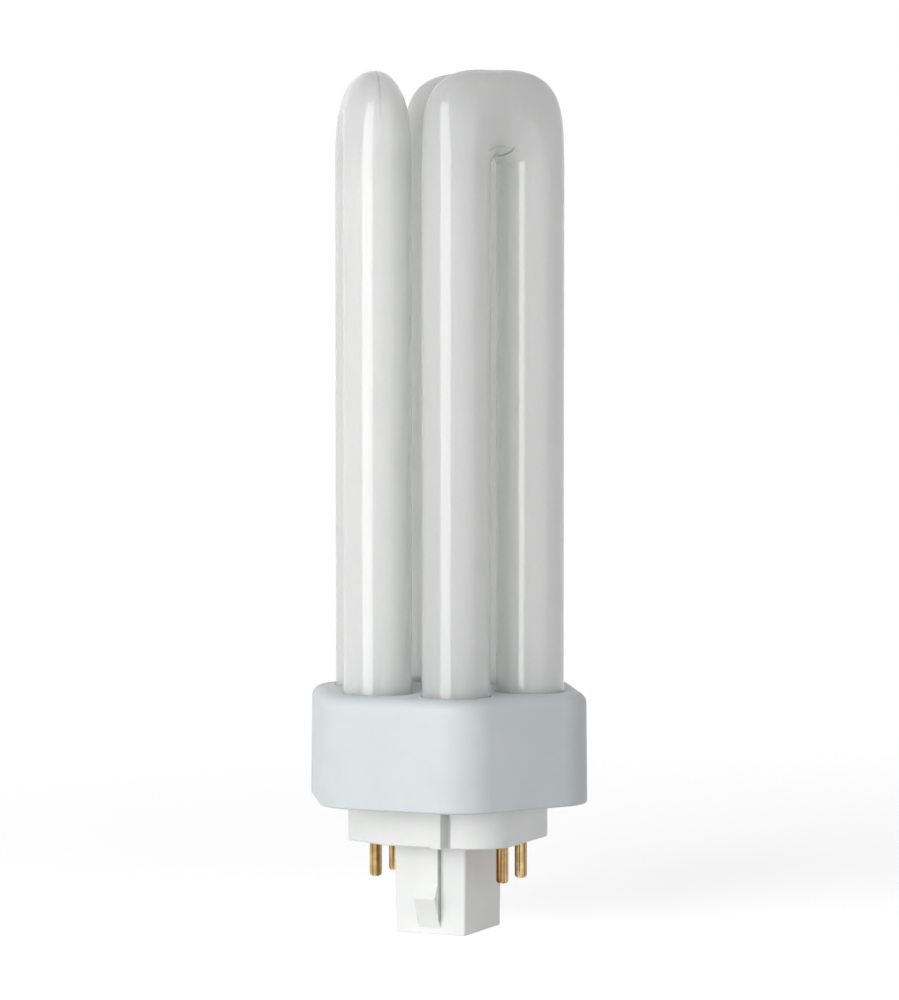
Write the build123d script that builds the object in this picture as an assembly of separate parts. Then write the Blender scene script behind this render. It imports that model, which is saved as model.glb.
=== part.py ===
"""Plug-in compact fluorescent lamp: three glass U tubes on a four-pin cap.

Millimetres. The origin is the centre of the cap ring's underside, the face that seats in a lampholder.
+Z runs up along the tubes and -Y is the side with the key slot.
"""
import os
from math import cos, radians, sin, tan

from build123d import *

FOOT = (Align.CENTER, Align.CENTER, Align.MIN)
HEAD = (Align.CENTER, Align.CENTER, Align.MAX)

# Glass discharge tube
tube_diameter = 11.5
slot_width = 4.0              # clear gap between the two legs of one U
neighbour_gap = 2.9           # clear gap between legs of neighbouring Us
tube_reach = 104.6            # from the collar's top face to the crown of the bends
bend_height = 16.5            # from the centre of the slot's arch to the crown
bend_squareness = 3.8         # exponent of the shoulder's superellipse
arch_depth = 7.3              # from the slot's arch to the widest point of the bend's middle section
bend_waist = 0.7              # how much the middle section is drawn in on each side
bend_blend = 4.0              # straight stretch of each leg that runs into its bend
leg_end_radius = 3.0
bridge_diameter = 5.5
bridge_margin = 0.5           # of straight leg above and below the bridges
pinch_width = 8.0
pinch_thickness = 3.0
pinch_length = 3.0
pinch_edge_radius = 1.0

# Collar
collar_shoulder = 4.2         # from the outermost glass to the collar's flat side
collar_corner_radius = 8.7
collar_draft = 0.5            # degrees
collar_top_radius = 2.0
collar_bottom_radius = 0.4
collar_top_wall = 2.0
collar_rim_wall = 1.8
collar_ledge = 0.8            # step inside the rim that the base plate bears on
tube_clearance = 0.2          # round each leg in its hole
cement_thickness = 2.5

# Base cap
plate_thickness = 2.0
plate_fit = 0.1               # round the base plate inside the collar's rim
ring_height = 6.9
ring_depth = 27.8
ring_corner_radius = 7.0
ring_wall = 1.5
ring_floor = 2.5
ring_edge_radius = 0.3
cavity_corner_radius = 6.0
key_facet_width = 9.0         # along the front, on the corner at -X
key_facet_depth = 4.5         # along the side
key_slot_width = 1.35
key_slot_depth = 1.9
key_slot_offset = 5.85        # from the middle of the front to the middle of the slot
key_rib_width = 2.5
key_rib_height = 1.2
post_width = 13.2
post_depth = 15.6
post_length = 15.6
post_wall = 1.5
post_draft = 0.7              # degrees
post_edge_radius = 0.5
post_foot_radius = 0.25
latch_width = 3.9
latch_rib_height = 1.2
latch_peak_height = 2.5
latch_upper_ramp = 2.2        # height of the nose above its peak
latch_lower_ramp = 5.2        # height of the nose below its peak
latch_foot = 1.2              # from the nose to the end of the post
latch_peak_radius = 0.25

# Contact pins and lead wires
pin_diameter = 2.1
pin_length = 6.7
pin_tip_radius = 0.6
pin_spacing_x = 23.5
pin_spacing_y = 8.0
pin_shoulder = 0.2            # a pin is this much larger in radius inside the ring's floor
pin_fit = 0.02                # round each pin in its hole
pin_head_lip = 0.2
pin_head_thickness = 0.8
pin_head_clearance = 0.2
wire_diameter = 0.5
wire_spread = 3.2             # between the two wires of one pinched end
wire_bend_radius = 0.8
wire_lift = 0.8               # height of the wires' axis over the base plate
wire_space = 2.8              # from the base plate up to the pinched ends of the glass

# Places that follow from the sizes above
tube_radius = tube_diameter / 2
leg_pitch = tube_diameter + slot_width
neighbour_pitch = tube_diameter + neighbour_gap
plane_offset = (leg_pitch / 2 + neighbour_pitch) / tan(radians(60))
u_angles = (-30, 90, 210)     # directions of the outward normals of the three Us
bend_angles = (0, 30, 50, 70, 90, 110, 130, 150, 180)   # of a bend's sections, closest on its shoulders
waist_power = 6               # keeps the waist between the two shoulders
half_span = leg_pitch / 2 + tube_radius

plate_top = ring_height + plate_thickness
pinch_bottom = plate_top + wire_space
leg_bottom = pinch_bottom + pinch_length
bridge_axis = leg_bottom + bridge_margin + bridge_diameter / 2
cement_bottom = bridge_axis + bridge_diameter / 2 + bridge_margin
cement_top = cement_bottom + cement_thickness
collar_bottom = ring_height
collar_top = cement_top + collar_top_wall
collar_apothem = plane_offset + tube_radius + collar_shoulder
crown = collar_top + tube_reach
arch_centre = crown - bend_height

pin_radius = pin_diameter / 2
pin_seat_radius = pin_radius + pin_shoulder
pin_head_radius = pin_seat_radius + pin_head_lip
cavity_width = pin_spacing_x + 2 * (pin_head_radius + pin_head_clearance)
cavity_depth = ring_depth - 2 * (key_slot_depth + ring_wall)
ring_width = cavity_width + 2 * ring_wall


def hexagon(inset):
    """The collar's plan, moved in by inset: a hexagon with a flat side at -Y and rounded corners."""
    outline = RegularPolygon(collar_apothem - inset, 6, major_radius=False)
    return fillet(outline.vertices(), collar_corner_radius - inset)


def upright(plan, low, high, draft=0):
    """A plan raised from height low to height high, drawn in by draft degrees on the way."""
    return Pos(0, 0, low) * extrude(plan, high - low, taper=draft)


def leg_places():
    """The axes of the six legs, two for each U in turn."""
    places = []
    for angle in u_angles:
        for side in (-1, 1):
            places.append(Rot(0, 0, angle) * Pos(plane_offset, side * leg_pitch / 2))
    return places


def bend_section(angle):
    """Section of a U bend on the plane that leans at angle about the centre of the slot's arch.

    It is half an ellipse outside and half an ellipse inside. The middle sections are drawn in a little,
    so that the face of the bend lies slightly lower than the legs beside it.
    """
    along = abs(cos(radians(angle)))
    up = sin(radians(angle))
    outer = ((along / half_span) ** bend_squareness + (up / bend_height) ** bend_squareness)
    outer = outer ** (-1 / bend_squareness)
    inner = slot_width / 2
    widest = along ** 2 * leg_pitch / 2 + up ** 2 * (inner + arch_depth)
    half_width = tube_radius - bend_waist * up ** waist_power
    plane = Plane(
        origin=(0, 0, arch_centre),
        x_dir=(cos(radians(angle)), 0, up),
        z_dir=(-up, 0, cos(radians(angle))),
    )
    outside = EllipticalCenterArc((widest, 0), outer - widest, half_width, -90, arc_size=180)
    inside = EllipticalCenterArc((widest, 0), widest - inner, half_width, 90, arc_size=180)
    return plane * make_face(outside + inside)


def u_tube():
    """One U upright in the XZ plane: the moulded bend and the two straight legs below it."""
    run_in = [Pos(0, 0, -drop) * bend_section(0) for drop in (bend_blend, bend_blend / 2)]
    turn = [bend_section(angle) for angle in bend_angles]
    run_out = [Pos(0, 0, -drop) * bend_section(180) for drop in (bend_blend / 2, bend_blend)]
    tube = loft(run_in + turn + run_out)
    leg_top = arch_centre - bend_blend
    for side in (-1, 1):
        leg = Cylinder(tube_radius, leg_top - leg_bottom, align=HEAD)
        tube += Pos(side * leg_pitch / 2, 0, leg_top) * leg
    return fillet(tube.edges().group_by(Axis.Z)[0], leg_end_radius)


def bridge(from_angle, to_angle):
    """The short tube inside the collar that joins a U to the next one round."""
    start = Rot(0, 0, from_angle) * Pos(plane_offset, leg_pitch / 2, bridge_axis)
    end = Rot(0, 0, to_angle) * Pos(plane_offset, -leg_pitch / 2, bridge_axis)
    path = Line(start.position, end.position)
    return sweep(Plane(path @ 0, z_dir=path % 0) * Circle(bridge_diameter / 2), path=path)


def discharge_tube():
    """The whole sealed glass: three Us in a chain, with a pinched end at each end of the chain."""
    glass = Part()
    for angle in u_angles:
        glass += Rot(0, 0, angle) * Pos(plane_offset, 0, 0) * Rot(0, 0, 90) * u_tube()
    for from_angle, to_angle in zip(u_angles, u_angles[1:]):
        glass += bridge(from_angle, to_angle)
    for place in pinched_ends():
        pinch = Box(pinch_width, pinch_thickness, leg_end_radius + pinch_length, align=HEAD)
        pinch = fillet(pinch.edges().filter_by(Axis.Z), pinch_edge_radius)
        glass += place * Pos(0, 0, leg_bottom + leg_end_radius) * pinch
    return glass


def pinched_ends():
    """The two legs that end the chain, either side of the gap that has no bridge."""
    legs = leg_places()
    return [Pos(leg.position.X, leg.position.Y, 0) for leg in (legs[0], legs[-1])]


def tube_collar():
    """The hexagonal shell: closed on top round the six legs, open below for the base plate."""
    shell = upright(hexagon(0), collar_bottom, collar_top, collar_draft)
    shell = fillet(shell.edges().group_by(Axis.Z)[-1], collar_top_radius)
    shell = fillet(shell.edges().group_by(Axis.Z)[0], collar_bottom_radius)
    shell -= upright(hexagon(collar_rim_wall), collar_bottom, plate_top)
    shell -= upright(hexagon(collar_rim_wall + collar_ledge), plate_top, cement_top)
    hole = Pos(0, 0, collar_top) * Cylinder(tube_radius + tube_clearance, 2 * collar_top_wall)
    for place in leg_places():
        shell -= place * hole
    return shell


def basing_cement():
    """The slab of cement under the collar's top wall that holds the legs."""
    slab = upright(hexagon(collar_rim_wall + collar_ledge), cement_bottom, cement_top)
    hole = Pos(0, 0, cement_top) * Cylinder(tube_radius, 3 * cement_thickness)
    for place in leg_places():
        slab -= place * hole
    return slab


def post_plan(inset):
    """The post's plan at the seating face, moved in by inset all round."""
    return RectangleRounded(post_width - 2 * inset, post_depth - 2 * inset, post_edge_radius)


def latch():
    """The snap rib down one side of the post, with the ramped nose that a lampholder's spring grips."""
    root = post_depth / 2 - post_wall / 2
    crest = post_depth / 2 + latch_rib_height
    nose = post_depth / 2 + latch_peak_height
    foot = latch_foot - post_length
    peak = foot + latch_lower_ramp
    profile = Polyline(
        (root, 0),
        (crest, 0),
        (crest, peak + latch_upper_ramp),
        (nose, peak),
        (post_depth / 2, foot),
        (root, foot),
        close=True,
    )
    rib = extrude(Plane.YZ * make_face(profile), latch_width / 2, both=True)
    return fillet(rib.edges().group_by(Axis.Y)[-1], latch_peak_radius)


def key_rib():
    """The wedge on the ring's front that leads up to the key slot."""
    slot_side = key_slot_offset - key_slot_width / 2
    front = -ring_depth / 2
    plan = Polyline(
        (slot_side - key_rib_width, front),
        (slot_side, front - key_rib_height),
        (slot_side, front + key_slot_depth),
        (slot_side - key_rib_width, front + key_slot_depth),
        close=True,
    )
    return upright(make_face(plan), 0, ring_height)


def ring_plan():
    """The ring's outline: a rounded rectangle with one corner cut to a facet, so that it fits one way."""
    plan = RectangleRounded(ring_width, ring_depth, ring_corner_radius)
    side = -ring_width / 2
    front = -ring_depth / 2
    corner = Polyline(
        (side, front),
        (side + key_facet_width, front),
        (side, front + key_facet_depth),
        close=True,
    )
    return plan - make_face(corner)


def pin_places():
    """The four pins' axes on the seating face."""
    return GridLocations(pin_spacing_x, pin_spacing_y, 2, 2).locations


def base_cap():
    """The moulded base: plate inside the collar, ring below it and hollow post with two latches."""
    ring = upright(ring_plan(), 0, ring_height)
    ring = fillet(ring.edges().group_by(Axis.Z)[0], ring_edge_radius)
    ring += key_rib()
    slot = Box(key_slot_width, 2 * key_slot_depth, 2 * ring_height)
    ring -= Pos(key_slot_offset, -ring_depth / 2, 0) * slot
    cap = ring + upright(hexagon(collar_rim_wall + plate_fit), ring_height, plate_top)
    post = extrude(post_plan(0), -post_length, taper=post_draft)
    cap += fillet(post.edges().group_by(Axis.Z)[0], post_foot_radius)
    for turn in (0, 180):
        cap += Rot(0, 0, turn) * latch()
    cavity = RectangleRounded(cavity_width, cavity_depth, cavity_corner_radius)
    cap -= upright(cavity, ring_floor, plate_top)
    cap -= extrude(post_plan(post_wall), post_wall - post_length, taper=post_draft)
    cap -= upright(post_plan(post_wall), 0, ring_floor)
    for place in pin_places():
        cap -= place * Cylinder(pin_seat_radius + pin_fit, 3 * ring_floor)
    return cap


def contact_pin():
    """One pin on its own axis: free end with a round tip, thicker seat in the ring's floor and head."""
    free_end = Cylinder(pin_radius, pin_length, align=HEAD)
    free_end = fillet(free_end.edges().group_by(Axis.Z)[0], pin_tip_radius)
    seat = Cylinder(pin_seat_radius, ring_floor, align=FOOT)
    head = Pos(0, 0, ring_floor) * Cylinder(pin_head_radius, pin_head_thickness, align=FOOT)
    return free_end + seat + head


def lead_wire(start, pin):
    """A wire straight down out of the glass at start, over the base plate and down to a pin's head."""
    route = FilletPolyline(
        (start.X, start.Y, pinch_bottom),
        (start.X, start.Y, plate_top + wire_lift),
        (pin.X, pin.Y, plate_top + wire_lift),
        (pin.X, pin.Y, ring_floor + pin_head_thickness),
        radius=wire_bend_radius,
    )
    return sweep(Plane(route @ 0, z_dir=route % 0) * Circle(wire_diameter / 2), path=route)


def wire_runs():
    """Start and pin of each wire: an end's outer wire goes to the near pin, its inner one to the far pin."""
    runs = []
    for end in pinched_ends():
        side = 1 if end.position.X > 0 else -1
        for outward in (1, -1):
            start = end.position + Vector(side * outward * wire_spread / 2, 0)
            runs.append((start, Vector(side * pin_spacing_x / 2, -outward * pin_spacing_y / 2)))
    return runs


def build():
    """Every piece of the lamp by its node's name."""
    pieces = {
        "discharge_tube": discharge_tube(),
        "tube_collar": tube_collar(),
        "basing_cement": basing_cement(),
        "base_cap": base_cap(),
    }
    for number, place in enumerate(pin_places(), start=1):
        pieces[f"contact_pin_{number}"] = place * contact_pin()
    for number, run in enumerate(wire_runs(), start=1):
        pieces[f"lead_wire_{number}"] = lead_wire(*run)
    return pieces


os.makedirs("parts", exist_ok=True)
for name, piece in build().items():
    piece.label = name
    export_step(piece, f"parts/{name}.step")
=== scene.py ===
"""Looks, light and camera for the plug-in compact fluorescent lamp."""
from math import cos, pi, radians, sin

import bpy
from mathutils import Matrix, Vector


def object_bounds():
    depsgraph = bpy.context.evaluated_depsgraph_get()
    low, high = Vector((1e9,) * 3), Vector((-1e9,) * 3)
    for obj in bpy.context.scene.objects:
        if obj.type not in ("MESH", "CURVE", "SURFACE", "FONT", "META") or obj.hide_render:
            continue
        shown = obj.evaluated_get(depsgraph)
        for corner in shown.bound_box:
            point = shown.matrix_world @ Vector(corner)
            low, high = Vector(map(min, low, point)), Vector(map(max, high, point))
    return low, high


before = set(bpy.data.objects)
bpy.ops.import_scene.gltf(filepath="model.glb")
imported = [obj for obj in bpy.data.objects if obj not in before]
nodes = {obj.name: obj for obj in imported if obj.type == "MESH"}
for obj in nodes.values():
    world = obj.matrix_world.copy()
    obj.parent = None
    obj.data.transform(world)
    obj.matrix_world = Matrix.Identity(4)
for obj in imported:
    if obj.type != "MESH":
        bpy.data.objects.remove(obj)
cad_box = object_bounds()

MM = 0.001

# The glass, in the frame of the solids
U_NORMALS = (-30, 90, 210)              # degrees, outward from the axis, one for each U
U_PLANE_OFFSET = 12.79 * MM             # from the axis to the plane of a U's two legs
PAINTED_SHADE_HEIGHT = (108 * MM, 122 * MM)      # heights between which the glass is painted a little darker towards the bends: painted shade
SEAM_HEIGHT = (121 * MM, 126 * MM)      # heights between which a seam comes up
SEAM_SIDE = (3 * MM, 6 * MM)            # the same, sideways from the middle of the U
SEAM_EDGE = (0.08 * MM, 0.24 * MM)      # half of a seam's width, where it is full and where it has gone
FOLDED_U_NORMAL = -30                   # of the U with a fold in its glass, whose crease has painted shade
FOLD_OUTSIDE = (0.6 * MM, 1.2 * MM)     # from the plane of the U, where the fold comes up
LOW_LIP_CENTRE = (-0.2 * MM, 117.3 * MM)    # of the fold's lower lip: sideways and height
LOW_LIP_RADII = (1.75 * MM, 1.36 * MM)
LOW_LIP_SIDE = (-0.9 * MM, 0.3 * MM)        # where the lip comes up
LOW_LIP_HEIGHT = (117.5 * MM, 117.2 * MM)
LOW_LIP_EDGE = (0.06, 0.2)                  # half of its width, in shares of its radii
HIGH_LIP_CENTRE = (-1.3 * MM, 116.4 * MM)
HIGH_LIP_RADII = (3.2 * MM, 1.1 * MM)
HIGH_LIP_HEIGHT = (116.5 * MM, 117 * MM)
HIGH_LIP_EDGE = (0.05, 0.3)
HIGH_LIP_DEPTH = 0.4                        # against the lower lip's

# The two latches on the cap's post
LATCH_FLANK = 1.95 * MM                 # sideways from the middle of the post
FLANK_SHADE_EDGE = (0.05 * MM, 0.15 * MM)      # half of the painted shade line's width, where it is full and where it has gone
FLANK_SHADE_FRONT = (8.4 * MM, 8.8 * MM)       # from the lamp's axis, where the painted shade line ends outside
FLANK_SHADE_BACK = (7.3 * MM, 7.5 * MM)        # and where it starts, in the wall of the post
FLANK_SHADE_TOP = (-0.2 * MM, 0)               # heights between which it ends at the ring
FLANK_SHADE_FOOT = (-14.0 * MM, -13.0 * MM)    # and comes up over the foot of the latch


def srgb(red, green, blue):
    """A colour as it shows on a screen, 0 to 255, in the shader's linear values."""
    linear = []
    for value in (red, green, blue):
        value /= 255
        linear.append(value / 12.92 if value <= 0.04045 else ((value + 0.055) / 1.055) ** 2.4)
    return (*linear, 1.0)


WHITE = srgb(255, 255, 255)


# Pieces of materials

def new_material(name):
    """An empty node material and its shader."""
    material = bpy.data.materials.new(name)
    material.use_nodes = True
    return material, material.node_tree.nodes["Principled BSDF"]


def noise(material, size, stretch=(1, 1, 1), detail=3.0, roughness=0.5):
    """Noise with features of about that size in metres, drawn out along an axis by its stretch."""
    tree = material.node_tree
    place = tree.nodes.new("ShaderNodeTexCoord")
    scale = tree.nodes.new("ShaderNodeMapping")
    scale.inputs["Scale"].default_value = [1 / factor for factor in stretch]
    tree.links.new(place.outputs["Object"], scale.inputs["Vector"])
    texture = tree.nodes.new("ShaderNodeTexNoise")
    texture.inputs["Scale"].default_value = 1 / size
    texture.inputs["Detail"].default_value = detail
    texture.inputs["Roughness"].default_value = roughness
    tree.links.new(scale.outputs["Vector"], texture.inputs["Vector"])
    return texture.outputs["Fac"]


def ramp(material, value, low, high, start=0.35, end=0.65):
    """Colours from low to high as value goes from start to end."""
    node = material.node_tree.nodes.new("ShaderNodeValToRGB")
    node.color_ramp.elements[0].position = start
    node.color_ramp.elements[0].color = low
    node.color_ramp.elements[1].position = end
    node.color_ramp.elements[1].color = high
    material.node_tree.links.new(value, node.inputs["Fac"])
    return node.outputs["Color"]


def span(material, value, low, high, start=0.3, end=0.7):
    """Numbers from low to high as value goes from start to end."""
    node = material.node_tree.nodes.new("ShaderNodeMapRange")
    node.inputs["From Min"].default_value = start
    node.inputs["From Max"].default_value = end
    node.inputs["To Min"].default_value = low
    node.inputs["To Max"].default_value = high
    material.node_tree.links.new(value, node.inputs["Value"])
    return node.outputs["Result"]


def blend(material, factor, first, second, mode="MIX"):
    """Two colours mixed by factor, which is a number."""
    node = material.node_tree.nodes.new("ShaderNodeMix")
    node.data_type = "RGBA"
    node.blend_type = mode
    node.inputs["Factor"].default_value = factor
    material.node_tree.links.new(first, node.inputs[6])
    material.node_tree.links.new(second, node.inputs[7])
    return node.outputs[2]


def bump(material, height, depth, strength, under=None):
    """A normal raised by height, over the normal under it."""
    node = material.node_tree.nodes.new("ShaderNodeBump")
    node.inputs["Strength"].default_value = strength
    node.inputs["Distance"].default_value = depth
    material.node_tree.links.new(height, node.inputs["Height"])
    if under is not None:
        material.node_tree.links.new(under, node.inputs["Normal"])
    return node.outputs["Normal"]


def along(material, direction):
    """How far a point of the surface lies from the origin in that direction, in metres."""
    tree = material.node_tree
    place = tree.nodes.new("ShaderNodeTexCoord")
    lean = tree.nodes.new("ShaderNodeVectorMath")
    lean.operation = "DOT_PRODUCT"
    lean.inputs[1].default_value = direction
    tree.links.new(place.outputs["Object"], lean.inputs[0])
    return lean.outputs["Value"]


def combine(material, mode, first, second=0):
    """Two values, or a value and a number, put together by a Math node."""
    node = material.node_tree.nodes.new("ShaderNodeMath")
    node.operation = mode
    material.node_tree.links.new(first, node.inputs[0])
    if isinstance(second, (int, float)):
        node.inputs[1].default_value = second
    else:
        material.node_tree.links.new(second, node.inputs[1])
    return node.outputs["Value"]


def product(material, *values):
    """All the values multiplied."""
    total = values[0]
    for value in values[1:]:
        total = combine(material, "MULTIPLY", total, value)
    return total


# Marks in the glass and the plastic

def u_directions(normal):
    """Outward from a U and sideways from its first leg to its second."""
    turn = radians(normal)
    return (cos(turn), sin(turn), 0), (-sin(turn), cos(turn), 0)


def from_plane(material, outward):
    """How far a point lies outside the plane of a U's legs."""
    return combine(material, "SUBTRACT", along(material, outward), U_PLANE_OFFSET)


def from_ellipse(material, across, height, centre, radii):
    """0 on an upright ellipse in the plane of a U, and more the further a point lies from it."""
    tree = material.node_tree
    place = tree.nodes.new("ShaderNodeCombineXYZ")
    tree.links.new(across, place.inputs["X"])
    tree.links.new(height, place.inputs["Y"])
    value = place.outputs["Vector"]
    for mode, amount in (("SUBTRACT", (*centre, 0)), ("DIVIDE", (*radii, 1)), ("LENGTH", None)):
        node = tree.nodes.new("ShaderNodeVectorMath")
        node.operation = mode
        tree.links.new(value, node.inputs[0])
        if amount is not None:
            node.inputs[1].default_value = amount
        value = node.outputs["Value" if amount is None else "Vector"]
    return combine(material, "ABSOLUTE", combine(material, "SUBTRACT", value, 1))


def shoulder_seams(material, height):
    """1 on the line that the bend's mould left over one shoulder of each U, in its middle plane."""
    seams = None
    crown = span(material, height, 0, 1, *SEAM_HEIGHT)
    for normal in U_NORMALS:
        outward, sideways = u_directions(normal)
        line = combine(material, "ABSOLUTE", from_plane(material, outward))
        line = span(material, line, 1, 0, *SEAM_EDGE)
        shoulder = span(material, along(material, sideways), 0, 1, *SEAM_SIDE)
        line = product(material, line, crown, shoulder)
        seams = line if seams is None else combine(material, "MAXIMUM", seams, line)
    return seams


def slot_fold_and_shade(material, height):
    """1 on the small eye-shaped crease in the glass over the head of one U's slot, on the outside. It
    gives the crease its relief and its painted shade.
    """
    outward, sideways = u_directions(FOLDED_U_NORMAL)
    across = along(material, sideways)
    low_lip = from_ellipse(material, across, height, LOW_LIP_CENTRE, LOW_LIP_RADII)
    low_lip = product(
        material,
        span(material, low_lip, 1, 0, *LOW_LIP_EDGE),
        span(material, across, 0, 1, *LOW_LIP_SIDE),
        span(material, height, 0, 1, *LOW_LIP_HEIGHT),
    )
    high_lip = from_ellipse(material, across, height, HIGH_LIP_CENTRE, HIGH_LIP_RADII)
    high_lip = product(
        material,
        span(material, high_lip, HIGH_LIP_DEPTH, 0, *HIGH_LIP_EDGE),
        span(material, height, 0, 1, *HIGH_LIP_HEIGHT),
    )
    outside = span(material, from_plane(material, outward), 0, 1, *FOLD_OUTSIDE)
    return product(material, combine(material, "MAXIMUM", low_lip, high_lip), outside)


def latch_flank_shade(material):
    """1 along the foot of each flank of the two latches, where a fine dark line of painted shade goes."""
    side = combine(material, "ABSOLUTE", along(material, (1, 0, 0)))
    front = combine(material, "ABSOLUTE", along(material, (0, 1, 0)))
    height = along(material, (0, 0, 1))
    off_flank = combine(material, "ABSOLUTE", combine(material, "SUBTRACT", side, LATCH_FLANK))
    return product(
        material,
        span(material, off_flank, 1, 0, *FLANK_SHADE_EDGE),
        span(material, front, 1, 0, *FLANK_SHADE_FRONT),
        span(material, front, 0, 1, *FLANK_SHADE_BACK),
        span(material, height, 1, 0, *FLANK_SHADE_TOP),
        span(material, height, 0, 1, *FLANK_SHADE_FOOT),
    )


# Materials

def coated_glass():
    """White phosphor powder behind clear, slightly wavy glass. Its colour has painted shade: a little
    darker towards the bends, and dark in the crease of the eye over one slot.
    """
    material, shader = new_material("coated_glass")
    links = material.node_tree.links
    grain = noise(material, 0.35 * MM, detail=2.0)
    streaks = noise(material, 3 * MM, stretch=(1, 1, 14))
    height = along(material, (0, 0, 1))
    seams = shoulder_seams(material, height)
    fold_and_shade = slot_fold_and_shade(material, height)
    powder = blend(
        material, 0.5,
        ramp(material, grain, srgb(251, 253, 250), srgb(254, 255, 253)),
        ramp(material, streaks, srgb(251, 252, 249), srgb(254, 255, 253)),
    )
    for value, shade, start, end in (
        # painted shade: the glass a little darker towards the bends
        (height, srgb(247, 248, 247), *PAINTED_SHADE_HEIGHT),
        (seams, srgb(214, 215, 212), 0, 1),
        # painted shade: dark in the crease of the eye over the slot
        (fold_and_shade, srgb(150, 152, 144), 0, 1),
    ):
        tint = ramp(material, value, WHITE, shade, start, end)
        powder = blend(material, 1.0, powder, tint, "MULTIPLY")
    links.new(powder, shader.inputs["Base Color"])
    links.new(span(material, grain, 0.5, 0.62), shader.inputs["Roughness"])
    shader.inputs["Specular IOR Level"].default_value = 0.15
    shader.inputs["Subsurface Weight"].default_value = 0.75
    shader.inputs["Subsurface Radius"].default_value = (1.0, 1.0, 0.95)
    shader.inputs["Subsurface Scale"].default_value = 180 * MM
    shader.inputs["Coat Weight"].default_value = 0.65
    shader.inputs["Coat Roughness"].default_value = 0.035
    shader.inputs["Coat IOR"].default_value = 1.8
    waves = noise(material, 5 * MM, stretch=(1, 1, 6), detail=1.0)
    surface = bump(material, waves, 0.02 * MM, 0.25)
    marks = combine(material, "MAXIMUM", seams, fold_and_shade)
    links.new(bump(material, marks, 0.06 * MM, 0.8, surface), shader.inputs["Coat Normal"])
    return material


def moulded_plastic(name, low, high, roughness, grain_size, marks=None):
    """Satin thermoplastic with a fine spark-eroded grain, darker where marks gives 1: painted shade."""
    material, shader = new_material(name)
    links = material.node_tree.links
    cloud = noise(material, 9 * MM, detail=4.0)
    grain = noise(material, grain_size)
    colour = ramp(material, cloud, low, high)
    if marks is not None:
        # painted shade: a darker tint where marks gives 1
        tint = ramp(material, marks(material), WHITE, srgb(198, 200, 196), 0, 1)
        colour = blend(material, 1.0, colour, tint, "MULTIPLY")
    links.new(colour, shader.inputs["Base Color"])
    links.new(span(material, grain, roughness - 0.06, roughness + 0.06), shader.inputs["Roughness"])
    links.new(bump(material, grain, 0.03 * MM, 0.2), shader.inputs["Normal"])
    shader.inputs["Specular IOR Level"].default_value = 0.4
    shader.inputs["Subsurface Weight"].default_value = 0.08
    shader.inputs["Subsurface Scale"].default_value = 0.8 * MM
    return material


def drawn_brass():
    """Bright brass wire with drawing-die streaks along it and a trace of tarnish. The dark and pale
    streaks in its colour are partly painted reflections.
    """
    material, shader = new_material("pin_brass")
    links = material.node_tree.links
    die_lines_and_painted_reflections = noise(material, 0.55 * MM, stretch=(1, 1, 60), detail=1.0)
    tarnish = noise(material, 1.6 * MM, detail=4.0)
    # die marks and painted reflections: dark and pale streaks in the brass colour
    metal = ramp(material, die_lines_and_painted_reflections, srgb(128, 90, 38), srgb(238, 214, 164), 0.4, 0.66)
    stain = ramp(material, tarnish, srgb(226, 220, 208), WHITE)
    links.new(blend(material, 1.0, metal, stain, "MULTIPLY"), shader.inputs["Base Color"])
    links.new(span(material, die_lines_and_painted_reflections, 0.22, 0.12), shader.inputs["Roughness"])
    links.new(bump(material, die_lines_and_painted_reflections, 0.02 * MM, 0.4), shader.inputs["Normal"])
    shader.inputs["Metallic"].default_value = 1.0
    return material


def wire_metal():
    """Dull grey lead wire."""
    material, shader = new_material("wire_metal")
    links = material.node_tree.links
    scale = noise(material, 0.8 * MM, stretch=(1, 1, 3))
    links.new(ramp(material, scale, srgb(150, 150, 146), srgb(186, 186, 182)), shader.inputs["Base Color"])
    links.new(span(material, scale, 0.3, 0.5), shader.inputs["Roughness"])
    shader.inputs["Metallic"].default_value = 1.0
    return material


def basing_cement():
    """Chalky cement with a gritty surface."""
    material, shader = new_material("cement")
    links = material.node_tree.links
    grit = noise(material, 0.5 * MM, detail=6.0, roughness=0.7)
    links.new(ramp(material, grit, srgb(190, 186, 176), srgb(226, 222, 212)), shader.inputs["Base Color"])
    links.new(bump(material, grit, 0.2 * MM, 0.6), shader.inputs["Normal"])
    shader.inputs["Roughness"].default_value = 0.9
    return material


def dress(material, *names):
    """Gives the named CAD nodes a material."""
    for name in names:
        mesh = nodes[name].data
        mesh.materials.clear()
        mesh.materials.append(material)


collar_plastic = moulded_plastic(
    "collar_plastic", srgb(220, 227, 228), srgb(224, 230, 231), roughness=0.48, grain_size=0.45 * MM)
# the cap's plastic has painted shade along the foot of the latches' flanks
cap_plastic = moulded_plastic(
    "cap_plastic", srgb(244, 245, 244), srgb(248, 249, 248), roughness=0.4, grain_size=0.3 * MM,
    marks=latch_flank_shade)
numbers = (1, 2, 3, 4)
dress(coated_glass(), "discharge_tube")
dress(collar_plastic, "tube_collar")
dress(cap_plastic, "base_cap")
dress(drawn_brass(), *[f"contact_pin_{number}" for number in numbers])
dress(wire_metal(), *[f"lead_wire_{number}" for number in numbers])
dress(basing_cement(), "basing_cement")

# Camera, at the photograph's viewing angle

PHOTO_HEIGHT = 1000
view_azimuth = radians(23.7)
view_distance = 0.85
view_height = 0.1083
view_pitch = radians(3.406)
focal_pixels = 5010
axis_offset = 0.00022       # how far the lamp's axis stands left of the picture's middle

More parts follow.
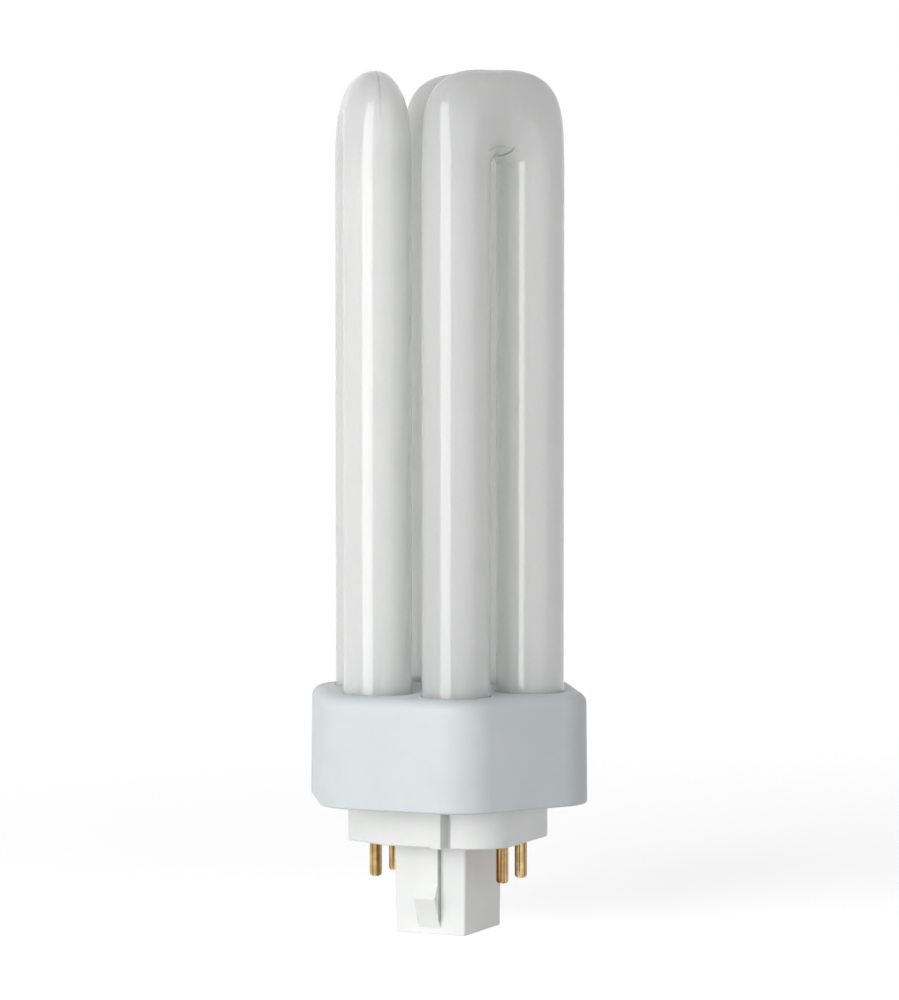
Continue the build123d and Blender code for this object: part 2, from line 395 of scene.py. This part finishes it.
camera_data = bpy.data.cameras.new("camera")
camera_data.sensor_fit = "VERTICAL"
camera_data.sensor_height = 24
camera_data.lens = camera_data.sensor_height * focal_pixels / PHOTO_HEIGHT
camera_data.clip_start = 0.01
camera = bpy.data.objects.new("camera", camera_data)
toward = Vector((sin(view_azimuth), -cos(view_azimuth), 0))
rightward = Vector((cos(view_azimuth), sin(view_azimuth), 0))
camera.location = toward * view_distance + rightward * axis_offset + Vector((0, 0, view_height))
camera.rotation_euler = (pi / 2 - view_pitch, 0, view_azimuth)
bpy.context.scene.collection.objects.link(camera)
bpy.context.scene.camera = camera


# Floor, world and lamps

def background_rays(tree):
    """1 for rays that should meet the plain white background: camera, glossy and transmission rays."""
    path = tree.nodes.new("ShaderNodeLightPath")
    total = path.outputs["Is Camera Ray"]
    for name in ("Is Glossy Ray", "Is Transmission Ray"):
        either = tree.nodes.new("ShaderNodeMath")
        either.operation = "MAXIMUM"
        tree.links.new(total, either.inputs[0])
        tree.links.new(path.outputs[name], either.inputs[1])
        total = either.outputs["Value"]
    return total


def make_floor(low, half_size, grey, near, far, near_lift, far_lift):
    """A plain pale floor just under the lamp. It keeps the shadow and fades into the white background.

    The lift is what it adds to its own look, at the near and far distances from the lamp.
    """
    mesh = bpy.data.meshes.new("floor")
    corners = [(x * half_size, y * half_size, low) for x, y in ((-1, -1), (1, -1), (1, 1), (-1, 1))]
    mesh.from_pydata(corners, [], [(0, 1, 2, 3)])
    floor = bpy.data.objects.new("floor", mesh)
    bpy.context.scene.collection.objects.link(floor)
    material = bpy.data.materials.new("floor")
    material.use_nodes = True
    tree = material.node_tree
    tree.nodes.clear()
    matte = tree.nodes.new("ShaderNodeBsdfDiffuse")
    matte.inputs["Color"].default_value = (grey, grey, grey, 1)
    glow = tree.nodes.new("ShaderNodeEmission")
    place = tree.nodes.new("ShaderNodeTexCoord")
    reach = tree.nodes.new("ShaderNodeVectorMath")
    reach.operation = "LENGTH"
    tree.links.new(place.outputs["Object"], reach.inputs[0])
    lift = span(material, reach.outputs["Value"], near_lift, far_lift, near, far)
    tree.links.new(product(material, lift, background_rays(tree)), glow.inputs["Strength"])
    both = tree.nodes.new("ShaderNodeAddShader")
    tree.links.new(matte.outputs[0], both.inputs[0])
    tree.links.new(glow.outputs[0], both.inputs[1])
    output = tree.nodes.new("ShaderNodeOutputMaterial")
    tree.links.new(both.outputs[0], output.inputs["Surface"])
    mesh.materials.append(material)


def make_world(bright_side, low, high, ceiling):
    """White to look at. The soft fill on the lamp is strongest from the bright side and fades overhead."""
    world = bpy.data.worlds.new("world")
    world.use_nodes = True
    tree = world.node_tree
    background = tree.nodes["Background"]
    background.inputs["Color"].default_value = WHITE
    place = tree.nodes.new("ShaderNodeTexCoord")
    lean = tree.nodes.new("ShaderNodeVectorMath")
    lean.operation = "DOT_PRODUCT"
    lean.inputs[1].default_value = bright_side.normalized()
    tree.links.new(place.outputs["Generated"], lean.inputs[0])
    fill = tree.nodes.new("ShaderNodeMapRange")
    fill.inputs["From Min"].default_value = -1.0
    fill.inputs["To Min"].default_value = low
    fill.inputs["To Max"].default_value = high
    tree.links.new(lean.outputs["Value"], fill.inputs["Value"])
    overhead = tree.nodes.new("ShaderNodeSeparateXYZ")
    tree.links.new(place.outputs["Generated"], overhead.inputs["Vector"])
    fade = tree.nodes.new("ShaderNodeMapRange")
    fade.inputs["From Max"].default_value = ceiling
    fade.inputs["To Max"].default_value = 0.0
    tree.links.new(overhead.outputs["Z"], fade.inputs["Value"])
    tree.links.new(fill.outputs["Result"], fade.inputs["To Min"])
    level = tree.nodes.new("ShaderNodeMapRange")
    level.inputs["To Max"].default_value = 1.0
    tree.links.new(fade.outputs["Result"], level.inputs["To Min"])
    tree.links.new(background_rays(tree), level.inputs["Value"])
    tree.links.new(level.outputs["Result"], background.inputs["Strength"])
    bpy.context.scene.world = world


def softbox(name, azimuth, distance, low, high, width, radiance):
    """An upright softbox that faces the lamp's axis, azimuth degrees round from the front."""
    data = bpy.data.lights.new(name, "AREA")
    data.shape = "RECTANGLE"
    data.size = width
    data.size_y = high - low
    data.energy = radiance * pi * width * (high - low)
    light = bpy.data.objects.new(name, data)
    turn = radians(azimuth)
    light.location = (distance * sin(turn), -distance * cos(turn), (low + high) / 2)
    light.rotation_euler = (pi / 2, 0, turn)
    light.visible_camera = False
    bpy.context.scene.collection.objects.link(light)


floor_height = cad_box[0][2]
make_floor(floor_height, half_size=80.0, grey=0.78, near=0.1, far=0.4, near_lift=0.74, far_lift=0.90)
make_world(bright_side=-0.4 * rightward - 0.9 * toward, low=0.6, high=3.55, ceiling=0.45)
softbox("key", azimuth=-11, distance=0.4, low=floor_height, high=0.383, width=0.247, radiance=3.5)
softbox("front", azimuth=44, distance=0.45, low=floor_height, high=0.41, width=0.7, radiance=0.58)

bpy.context.scene.view_settings.view_transform = "Standard"
